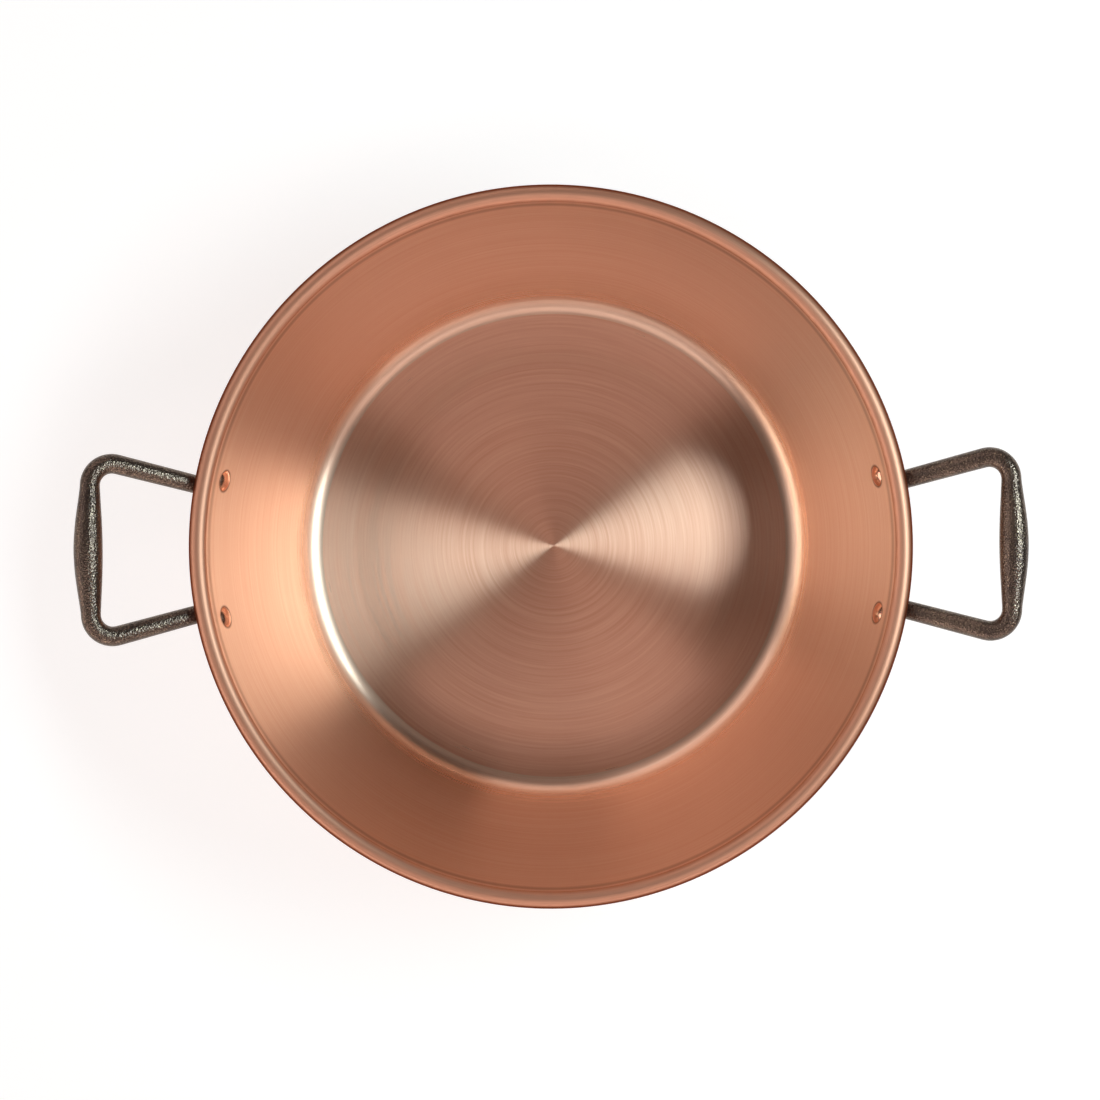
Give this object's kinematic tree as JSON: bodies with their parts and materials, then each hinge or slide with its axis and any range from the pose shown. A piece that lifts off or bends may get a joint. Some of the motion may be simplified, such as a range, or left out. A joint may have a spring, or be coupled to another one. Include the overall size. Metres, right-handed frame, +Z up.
{
  "type": "jam pan",
  "caption": "Wide spun copper jam pan: flat base, flared conical wall, rolled and wired rim, and riveted cast loop handles on opposite sides.",
  "frame": {"origin": "centre of the base's underside, on the pan's axis", "axes": "+Z up along the pan's axis, +X towards the right-hand handle, +Y away from the viewer"},
  "size_m": [0.497, 0.38, 0.1379],
  "materials": {
    "copper_sheet": "turned and brushed copper",
    "steel_wire": "drawn",
    "coated_iron": "bronze-brown hammered coating",
    "copper_rivet": "polished copper"
  },
  "bodies": {
    "root": {"pan_body": "copper_sheet", "rim_wire": "steel_wire", "handle_right": "coated_iron", "handle_left": "coated_iron", "rivet_right_back": "copper_rivet", "rivet_right_front": "copper_rivet", "rivet_left_back": "copper_rivet", "rivet_left_front": "copper_rivet"}
  },
  "joints": []
}
